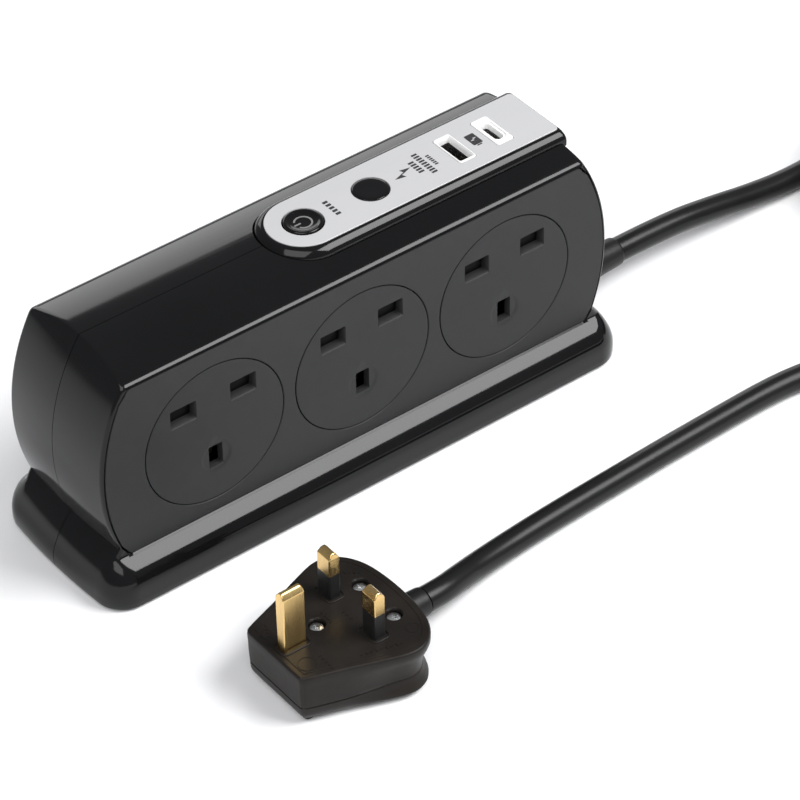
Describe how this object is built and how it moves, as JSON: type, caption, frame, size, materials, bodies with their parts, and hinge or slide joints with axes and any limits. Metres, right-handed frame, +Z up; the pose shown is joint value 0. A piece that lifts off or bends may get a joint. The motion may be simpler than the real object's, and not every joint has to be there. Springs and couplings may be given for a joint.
{
  "type": "power strip",
  "caption": "Double-sided tabletop extension block: shuttered British sockets on both long faces, power button and USB ports on top, wide plinth, fitted lead with coil and three-pin plug.",
  "frame": {"origin": "on the surface that the block stands on, below the middle of the casing", "axes": "+X along the casing towards the end where the lead leaves, -Y out of the front socket face, +Z up"},
  "size_m": [0.4145, 0.1477, 0.0883],
  "materials": {
    "gloss_black": "polished injection-moulded ABS, piano black",
    "matt_charcoal": "fine spark-eroded texture, charcoal polycarbonate",
    "shutter_black": "smooth satin black nylon",
    "silver_label": "satin silver printed label",
    "white_plastic": "smooth satin white",
    "brass": "machined brass, light handling marks",
    "steel": "zinc-plated steel",
    "circuit_board": "green solder resist",
    "plug_black": "satin brown-black moulded nylon",
    "cord_black": "smooth satin PVC sheath",
    "foot_rubber": "matt black rubber"
  },
  "bodies": {
    "casing": {"casing_screw_1": "steel", "casing_screw_2": "steel", "casing_screw_3": "steel", "casing_screw_4": "steel", "control_pad": "gloss_black", "cord_clamp": "matt_charcoal", "cord_coil": "cord_black", "cord_gland": "cord_black", "cord_tie": "cord_black", "cord_to_coil": "cord_black", "cord_to_plug": "cord_black", "earth_strip_front": "brass", "earth_strip_rear": "brass", "front_shell": "gloss_black", "front_socket_plate": "matt_charcoal", "live_strip_front": "brass", "live_strip_rear": "brass", "neutral_strip_front": "brass", "neutral_strip_rear": "brass", "plug_base": "plug_black", "plug_cord_grip": "cord_black", "plug_cover": "plug_black", "plug_earth_pin": "brass", "plug_fuse": "white_plastic", "plug_line_pin": "brass", "plug_line_sleeve": "shutter_black", "plug_neutral_pin": "brass", "plug_neutral_sleeve": "shutter_black", "plug_screw_1": "steel", "plug_screw_2": "steel", "plug_screw_3": "steel", "power_switch": "matt_charcoal", "rear_shell": "gloss_black", "rear_socket_plate": "matt_charcoal", "rubber_foot_1": "foot_rubber", "rubber_foot_2": "foot_rubber", "rubber_foot_3": "foot_rubber", "rubber_foot_4": "foot_rubber", "silver_label": "silver_label", "socket_face_front_1": "matt_charcoal", "socket_face_front_2": "matt_charcoal", "socket_face_front_3": "matt_charcoal", "socket_face_rear_1": "matt_charcoal", "socket_face_rear_2": "matt_charcoal", "socket_face_rear_3": "matt_charcoal", "status_lens": "gloss_black", "surge_protection_board": "circuit_board", "usb_a_frame": "white_plastic", "usb_a_shell": "steel", "usb_c_frame": "white_plastic", "usb_c_shell": "steel", "usb_charger_board": "circuit_board"},
    "button": {"power_button": "gloss_black"},
    "shutter_front_1": {"shutter_front_1": "shutter_black"},
    "shutter_front_2": {"shutter_front_2": "shutter_black"},
    "shutter_front_3": {"shutter_front_3": "shutter_black"},
    "shutter_rear_1": {"shutter_rear_1": "shutter_black"},
    "shutter_rear_2": {"shutter_rear_2": "shutter_black"},
    "shutter_rear_3": {"shutter_rear_3": "shutter_black"}
  },
  "joints": [
    {"name": "power_button_press", "type": "slide", "parent": "casing", "child": "button", "axis": [0, 0, -1], "range_m": [0, 0.0025], "stiffness_N_per_m": 400},
    {"name": "shutter_front_1_lift", "type": "slide", "parent": "casing", "child": "shutter_front_1", "axis": [0, 0, 1], "range_m": [0, 0.0072], "stiffness_N_per_m": 60},
    {"name": "shutter_front_2_lift", "type": "slide", "parent": "casing", "child": "shutter_front_2", "axis": [0, 0, 1], "range_m": [0, 0.0072], "stiffness_N_per_m": 60},
    {"name": "shutter_front_3_lift", "type": "slide", "parent": "casing", "child": "shutter_front_3", "axis": [0, 0, 1], "range_m": [0, 0.0072], "stiffness_N_per_m": 60},
    {"name": "shutter_rear_1_lift", "type": "slide", "parent": "casing", "child": "shutter_rear_1", "axis": [0, 0, 1], "range_m": [0, 0.0072], "stiffness_N_per_m": 60},
    {"name": "shutter_rear_2_lift", "type": "slide", "parent": "casing", "child": "shutter_rear_2", "axis": [0, 0, 1], "range_m": [0, 0.0072], "stiffness_N_per_m": 60},
    {"name": "shutter_rear_3_lift", "type": "slide", "parent": "casing", "child": "shutter_rear_3", "axis": [0, 0, 1], "range_m": [0, 0.0072], "stiffness_N_per_m": 60}
  ]
}
